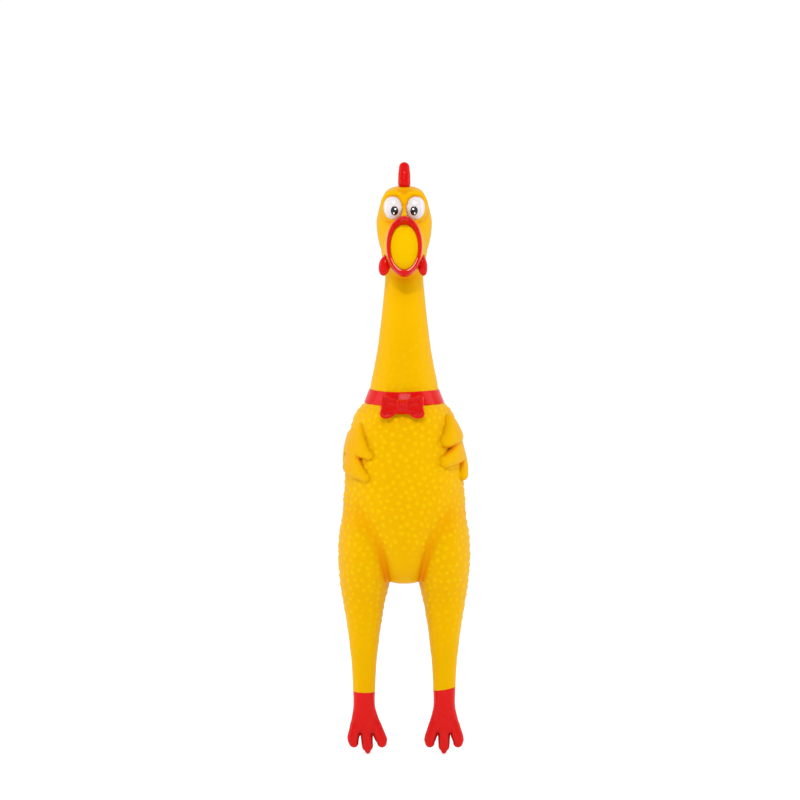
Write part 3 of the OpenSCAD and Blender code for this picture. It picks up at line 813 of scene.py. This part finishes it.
def make_wings(yellow):
    # root top, root low, tip, radii and offsets
    right = [((34, 173), (-2, 161.5), (53.5, 158.4), (1.8, 1.3, 1.2), (-0.2, 0.2, 0.5, 1.2)),
             ((28, 162.5), (0, 152.8), (51, 147), (1.8, 1.2, 1.2), (0.2, 0.1, 0.4, 0.9)),
             ((18, 170), (-22, 167), (-14, 150), (1.5, 1.3, 1.2), (-0.4, -0.3, 0.1, 0.5))]
    left = [((30, 177), (8, 168), (43, 165.8), (2.3, 2, 2.6), (0.3, -0.1, 0.9, 0.9)),
            ((20, 165.5), (6, 158), (47, 155.3), (2, 1.7, 2.2), (0.2, 0.1, 0.6, 0.9)),
            ((12, 165), (-14, 163), (14, 147.6), (1.7, 1.5, 2), (-0.6, -0.4, 0.3, 0.4)),
            ((2, 170), (-26, 167), (-20, 151), (1.5, 1.2, 1.2), (-0.6, -0.4, 0, 0.4))]
    make_wing(-1, "right", right, yellow)
    make_wing(1, "left", left, yellow)


# ---------------------------------------------------------------- collar and bow

def rounded(r, h, inward, angles, corner=0.55):
    """A section's rounded corner at r and h; inward is the way in h to the corner's middle."""
    turns = [math.radians(a) for a in angles]
    return [(r - corner + corner * math.cos(a), h + inward * corner + corner * math.sin(a))
            for a in turns]


def make_collar(red):
    """The conical band, whose front dips, as rounded sections swept round the neck."""
    count, thick = 160, 2.3
    top, low = (18.45, 191.5), (20.95, 184.2)
    section = [*rounded(*top, -1, (80, 50, 20)), (19.15, 189.2), (19.8, 187.6),
               *rounded(*low, 1, (0, -35, -70)), (low[0] - thick, 184.3), (top[0] - thick, 191.3)]
    points, faces = [], []
    for j in range(count):
        a = 2 * math.pi * j / count
        dip = 0.8 + 1.1 * math.sin(a) - 0.15 * math.sin(3 * a + 1)
        points += [(r * math.cos(a), r * math.sin(a), h + dip) for r, h in section]
    n = len(section)
    for j in range(count):
        for i in range(n):
            a, b = j * n, (j + 1) % count * n
            faces.append([a + i, b + i, b + (i + 1) % n, a + (i + 1) % n])
    data = new_mesh("collar", points, [f[::-1] for f in faces])
    collar = new_object("collar", data, red)
    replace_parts(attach(collar, "torso"), "collar_band")


# the knot's middle, and how far the bow leans back
BOW = (-1.1, -24.0, 183.7)
BOW_TILT = math.radians(8)


def bow_place(x, y, h):
    """From the bow's own upright place to the trunk, leaning back with the chest."""
    c, s = math.cos(BOW_TILT), math.sin(BOW_TILT)
    return (BOW[0] + 0.93 * x, BOW[1] + c * y + s * h, BOW[2] - s * y + 0.92 * c * h)


def make_bow(red):
    """Two pinched loops with a rolled rim and folds, and a ribbed knot over them."""
    low, high = (-15, -30, 172), (13, -17, 192)
    for side, word in SIDES:
        field = Field(low, high, FINE)
        rim = [(2, 0.2, 2.2), (5.2, 0, 4), (8.6, -0.1, 5.4), (10.4, 0, 5.2), (10.9, 0.3, 2.6),
               (10.5, 0.4, -0.6), (11.4, 0.2, -3.8), (9.8, 0, -5.5), (7.2, -0.1, -5.4),
               (4.4, 0, -3.4), (2, 0.2, -2.4)]
        line = [bow_place(side * x, y, h) for x, y, h in rim]
        for k in range(9):
            t = k / 8
            end = (10.6 + 0.3 * math.cos(t * 7), 0.9, 4.9 - 9.9 * t)
            rib = [bow_place(side * x, y, h) for x, y, h in ((1.5, 0.4, 2 - 4.2 * t), end)]
            field.add(stroke(rib, [1.1, 1]), soft=0.9)
        field.add(stroke(line, [0.9, 0.95, 1, 1.05, 0.95, 0.95, 1, 1.05, 1, 0.95, 0.9]), soft=0.4)
        for h, reach in ((1.2, 8.6), (-0.6, 6.4), (-2.6, 8)):
            fold = [bow_place(side * x, y, z) for x, y, z in ((1.8, -1, h * 0.6), (reach, -0.3, h))]
            field.add(stroke(fold, [0.8, 0.3]), soft=0.4)
        loop = whole(f"bow_{word}_wing", field, red)
        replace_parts(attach(loop, "torso"), f"bow_{word}_loop")
    field = Field(low, high, FINE)
    for x in (-2.1, -0.7, 0.7, 2.1):
        rib = [bow_place(x, y, h) for x, y, h in (
            (x, 0.2, 3.2), (x, -1.4, 2.2), (x, -2.1, 0), (x, -1.4, -2.3), (x, 0.2, -3.3))]
        field.add(stroke(rib, [0.85] * 5), soft=0.25)
    field.add(egg(bow_place(0, 0.2, 0), (2.5, 1.6, 3.2)), soft=0.4)
    knot = whole("bow_middle", field, red)
    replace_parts(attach(knot, "torso"), "bow_knot")


# ---------------------------------------------------------------- materials

def new_material(name, colour, roughness=0.4, coat=0.0):
    """A material with its node tree's nodes and links and its shader."""
    material = bpy.data.materials.new(name)
    material.use_nodes = True
    nodes, links = material.node_tree.nodes, material.node_tree.links
    shader = nodes["Principled BSDF"]
    shader.inputs["Base Color"].default_value = (*colour, 1)
    shader.inputs["Roughness"].default_value = roughness
    shader.inputs["Coat Weight"].default_value = coat
    shader.inputs["Coat Roughness"].default_value = 0.12
    shader.inputs["Specular IOR Level"].default_value = 0.3
    return material, nodes, links, shader


def mixed(nodes, links, factor, one, two):
    """A colour between one and two, which are colours or sockets, by a factor socket."""
    mix = nodes.new("ShaderNodeMix")
    mix.data_type = "RGBA"
    links.new(factor, mix.inputs["Factor"])
    for socket, value in ((mix.inputs["A"], one), (mix.inputs["B"], two)):
        if isinstance(value, tuple):
            socket.default_value = (*value, 1)
        else:
            links.new(value, socket)
    return mix.outputs["Result"]


def ranged(nodes, links, value, low, high, to_low, to_high):
    """A value socket whose span from low to high is mapped to another span."""
    node = nodes.new("ShaderNodeMapRange")
    for key, v in (("From Min", low), ("From Max", high), ("To Min", to_low), ("To Max", to_high)):
        node.inputs[key].default_value = v
    links.new(value, node.inputs["Value"])
    return node.outputs["Result"]


def noise(nodes, links, scale, detail=3.0):
    place = nodes.new("ShaderNodeTexCoord")
    texture = nodes.new("ShaderNodeTexNoise")
    texture.inputs["Scale"].default_value = scale
    texture.inputs["Detail"].default_value = detail
    links.new(place.outputs["Object"], texture.inputs["Vector"])
    return texture.outputs["Fac"]


def clouds(nodes, links, scale, low=0.3, high=0.7, to_low=0.0, to_high=1.0):
    """Noise whose middle part, from low to high, is mapped to another span."""
    return ranged(nodes, links, noise(nodes, links, scale), low, high, to_low, to_high)


def stored(nodes, name):
    """A value that the mesh keeps per point."""
    node = nodes.new("ShaderNodeAttribute")
    node.attribute_name = name
    return node.outputs["Fac"]


def fine_bump(nodes, links, shader, scale, strength, distance):
    node = nodes.new("ShaderNodeBump")
    node.inputs["Strength"].default_value = strength
    node.inputs["Distance"].default_value = distance
    links.new(noise(nodes, links, scale, 4), node.inputs["Height"])
    links.new(node.outputs["Normal"], shader.inputs["Normal"])


def uneven_gloss(nodes, links, shader, scale, low, high):
    """Roughness that wanders between low and high."""
    rough = clouds(nodes, links, scale, to_low=low, to_high=high)
    links.new(rough, shader.inputs["Roughness"])


def mottle(nodes, links, shader, other, scale, low=0.3, high=0.7, detail=3.0):
    """Turns the shader's plain colour into clouds of it and another colour."""
    one = tuple(shader.inputs["Base Color"].default_value)[:3]
    cloud = ranged(nodes, links, noise(nodes, links, scale, detail), low, high, 0, 1)
    links.new(mixed(nodes, links, cloud, one, other), shader.inputs["Base Color"])


def yellow_vinyl():
    """Moulded yellow PVC, softly mottled, with painted light: paler on the goose bumps' tops as a painted
    highlight and orange in the folds as painted shade.
    """
    colour = (0.69, 0.365, 0.0)
    material, nodes, links, shader = new_material("yellow_vinyl", colour)
    shader.inputs["Specular IOR Level"].default_value = 0.08
    shader.inputs["Specular Tint"].default_value = (1, 0.8, 0.15, 1)
    base = mixed(nodes, links, clouds(nodes, links, 38, 0.35), colour, (0.71, 0.385, 0.0))
    # painted shade: the folds are painted orange by how closed in each point is
    fold_shade = mixed(nodes, links, stored(nodes, "crease"), base, (0.68, 0.22, 0.0))
    # painted light: the goose bumps' tops are painted paler as a highlight, and on the face so is the
    # mouth's floor
    top = ranged(nodes, links, stored(nodes, "painted_light"), 0.05, 1, 0, 0.62)
    links.new(mixed(nodes, links, top, fold_shade, (0.76, 0.5, 0.0)), shader.inputs["Base Color"])
    uneven_gloss(nodes, links, shader, 260, 0.38, 0.48)
    fine_bump(nodes, links, shader, 900, 0.15, 0.0001)
    return material


def red_vinyl(name="red_vinyl", colour=(0.62, 0.0015, 0.0003)):
    """Glossy red PVC paint with a slightly deeper tone in its folds, which is painted shade."""
    material, nodes, links, shader = new_material(name, colour, coat=0.28)
    shader.inputs["Specular IOR Level"].default_value = 0.04
    shader.inputs["Specular Tint"].default_value = (1, 0.6, 0.5, 1)
    shader.inputs["Coat Roughness"].default_value = 0.08
    # deep is a random tone for the clouds; fold is the darker red of the painted shade in the folds
    deep, fold = [tuple(c * share for c in colour) for share in (0.94, 0.6)]
    base = mixed(nodes, links, clouds(nodes, links, 60, 0.35), deep, colour)
    links.new(mixed(nodes, links, stored(nodes, "crease"), base, fold), shader.inputs["Base Color"])
    uneven_gloss(nodes, links, shader, 300, 0.22, 0.3)
    fine_bump(nodes, links, shader, 700, 0.05, 0.0001)
    return material


def eye_paint():
    """Glossy off-white paint, faintly specked."""
    material, nodes, links, shader = new_material("eye_paint", (0.67, 0.64, 0.65), 0.22, 0.3)
    mottle(nodes, links, shader, (0.58, 0.53, 0.55), 1300, 0.35, 0.75, 2)
    return material


def glint_paint():
    """The white painted glints, with a faint painted glow so that they stay clear and a little brighter
    than lit paint.
    """
    material, nodes, links, shader = new_material("glint_paint", (0.9, 0.9, 0.9), 0.2)
    # painted light: the glints glow faintly, in clouds
    painted_glow = clouds(nodes, links, 900, to_low=0.45, to_high=0.6)
    shader.inputs["Emission Color"].default_value = (1, 1, 1, 1)
    links.new(painted_glow, shader.inputs["Emission Strength"])
    return material


def black_paint():
    material, nodes, links, shader = new_material("black_paint", (0.004, 0.004, 0.005), coat=0.5)
    uneven_gloss(nodes, links, shader, 400, 0.15, 0.25)
    return material


def milky_plastic():
    """The squeaker's hard off-white plastic."""
    material, nodes, links, shader = new_material("milky_plastic", (0.88, 0.87, 0.82), 0.35)
    mottle(nodes, links, shader, (0.8, 0.79, 0.74), 200)
    fine_bump(nodes, links, shader, 1500, 0.2, 0.00005)
    return material


def reed_film():
    material, nodes, links, shader = new_material("reed_film", (0.8, 0.64, 0.32), 0.3)
    mottle(nodes, links, shader, (0.68, 0.52, 0.25), 800)
    return material


def paint_squeaker():
    plastic, film = milky_plastic(), reed_film()
    for node, material in (("squeaker_housing", plastic), ("reed_block", plastic),
                           ("reed_wedge", plastic), ("squeaker_cap", plastic),
                           ("squeaker_reed", film)):
        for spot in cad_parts[node].material_slots:
            spot.material = material


# ---------------------------------------------------------------- floor, lights and camera

def make_floor():
    """A plain pale round floor under the toes."""
    rings, count, reach = 6, 96, 900
    points, faces = [(0, 0, 0)], []
    for k in range(1, rings + 1):
        points += [(reach * k / rings * math.cos(2 * math.pi * j / count),
                    reach * k / rings * math.sin(2 * math.pi * j / count), 0) for j in range(count)]
    faces += [[0, 1 + j, 1 + (j + 1) % count] for j in range(count)]
    for k in range(rings - 1):
        a, b = 1 + k * count, 1 + (k + 1) * count
        faces += [[a + j, b + j, b + (j + 1) % count, a + (j + 1) % count] for j in range(count)]
    data = new_mesh("floor", points, faces)
    material, nodes, links, shader = new_material("floor_paper", (0.72, 0.72, 0.72), 0.8)
    mottle(nodes, links, shader, (0.7, 0.7, 0.7), 6)
    shader.inputs["Emission Color"].default_value = (1, 1, 1, 1)
    shader.inputs["Emission Strength"].default_value = 0.42
    data.materials.append(material)
    floor = bpy.data.objects.new("floor", data)
    bpy.context.scene.collection.objects.link(floor)


def area_light(name, place, target, size, power):
    """A rectangular lamp; its place and target are in millimetres and its size in metres."""
    light = bpy.data.lights.new(name, "AREA")
    light.shape, light.size, light.size_y, light.energy = "RECTANGLE", size[0], size[1], power
    lamp = bpy.data.objects.new(name, light)
    lamp.location = row(*place)
    lamp.rotation_euler = (row(*target) - lamp.location).to_track_quat("-Z", "Y").to_euler()
    bpy.context.scene.collection.objects.link(lamp)


def make_lights():
    """A white studio, weaker from the front but bright along the horizon, with four lamps."""
    world = bpy.data.worlds.new("studio")
    world.use_nodes = True
    nodes, links = world.node_tree.nodes, world.node_tree.links
    place = nodes.new("ShaderNodeTexCoord")
    split = nodes.new("ShaderNodeSeparateXYZ")
    links.new(place.outputs["Generated"], split.inputs[0])
    dimmed = ranged(nodes, links, split.outputs["Y"], -0.85, 0.2, 0.24, 1.03)
    level, brighter = nodes.new("ShaderNodeMath"), nodes.new("ShaderNodeMath")
    level.operation, brighter.operation = "ABSOLUTE", "MAXIMUM"
    links.new(split.outputs["Z"], level.inputs[0])
    horizon = ranged(nodes, links, level.outputs[0], 0.26, 0.38, 0.9, 0)
    links.new(dimmed, brighter.inputs[0])
    links.new(horizon, brighter.inputs[1])
    background = nodes["Background"]
    background.inputs["Color"].default_value = (1, 1, 1, 1)
    links.new(brighter.outputs[0], background.inputs["Strength"])
    bpy.context.scene.world = world
    area_light("side_left", (700, -60, 330), (0, 0, 170), (0.35, 0.9), 1.7)
    area_light("side_right", (-700, -60, 330), (0, 0, 170), (0.35, 0.9), 1.7)
    area_light("top", (0, -420, 560), (0, 0, 230), (0.3, 0.16), 0.8)
    area_light("spark", (-60, -700, 700), (0, 0, 220), (0.05, 0.04), 1.8)


def make_camera():
    """A long lens in front of the chicken, a little above its middle, with the whole toy in view."""
    lens_mm, sensor, view_width = 100, 36, 419
    rise = math.radians(2)
    distance = view_width * lens_mm / sensor
    target = (-2.2, 0, 186.4)
    camera = bpy.data.cameras.new("camera")
    camera.lens, camera.sensor_width = lens_mm, sensor
    camera.clip_start, camera.clip_end = 0.01, 10
    eye = bpy.data.objects.new("camera", camera)
    eye.location = row(target[0], -distance * math.cos(rise), target[2] + distance * math.sin(rise))
    eye.rotation_euler = (row(*target) - eye.location).to_track_quat("-Z", "Y").to_euler()
    bpy.context.scene.collection.objects.link(eye)
    bpy.context.scene.camera = eye


# ---------------------------------------------------------------- the chicken

def main():
    bpy.context.scene.view_settings.view_transform = "Standard"
    make_camera()
    make_lights()
    make_floor()
    yellow, red, white, black = yellow_vinyl(), red_vinyl(), eye_paint(), black_paint()
    # a paler red for the painted highlight along the beak's lip
    pale = red_vinyl("lip_highlight_red_vinyl", (0.95, 0.42, 0.36))
    make_skin_pieces(yellow, red)
    make_head_skin(yellow)
    make_beak(red)
    make_lip_highlight(pale)
    make_comb(red)
    make_wattles(red)
    make_eyes(white, black, glint_paint())
    make_wings(yellow)
    make_collar(red)
    make_bow(red)
    paint_squeaker()


main()
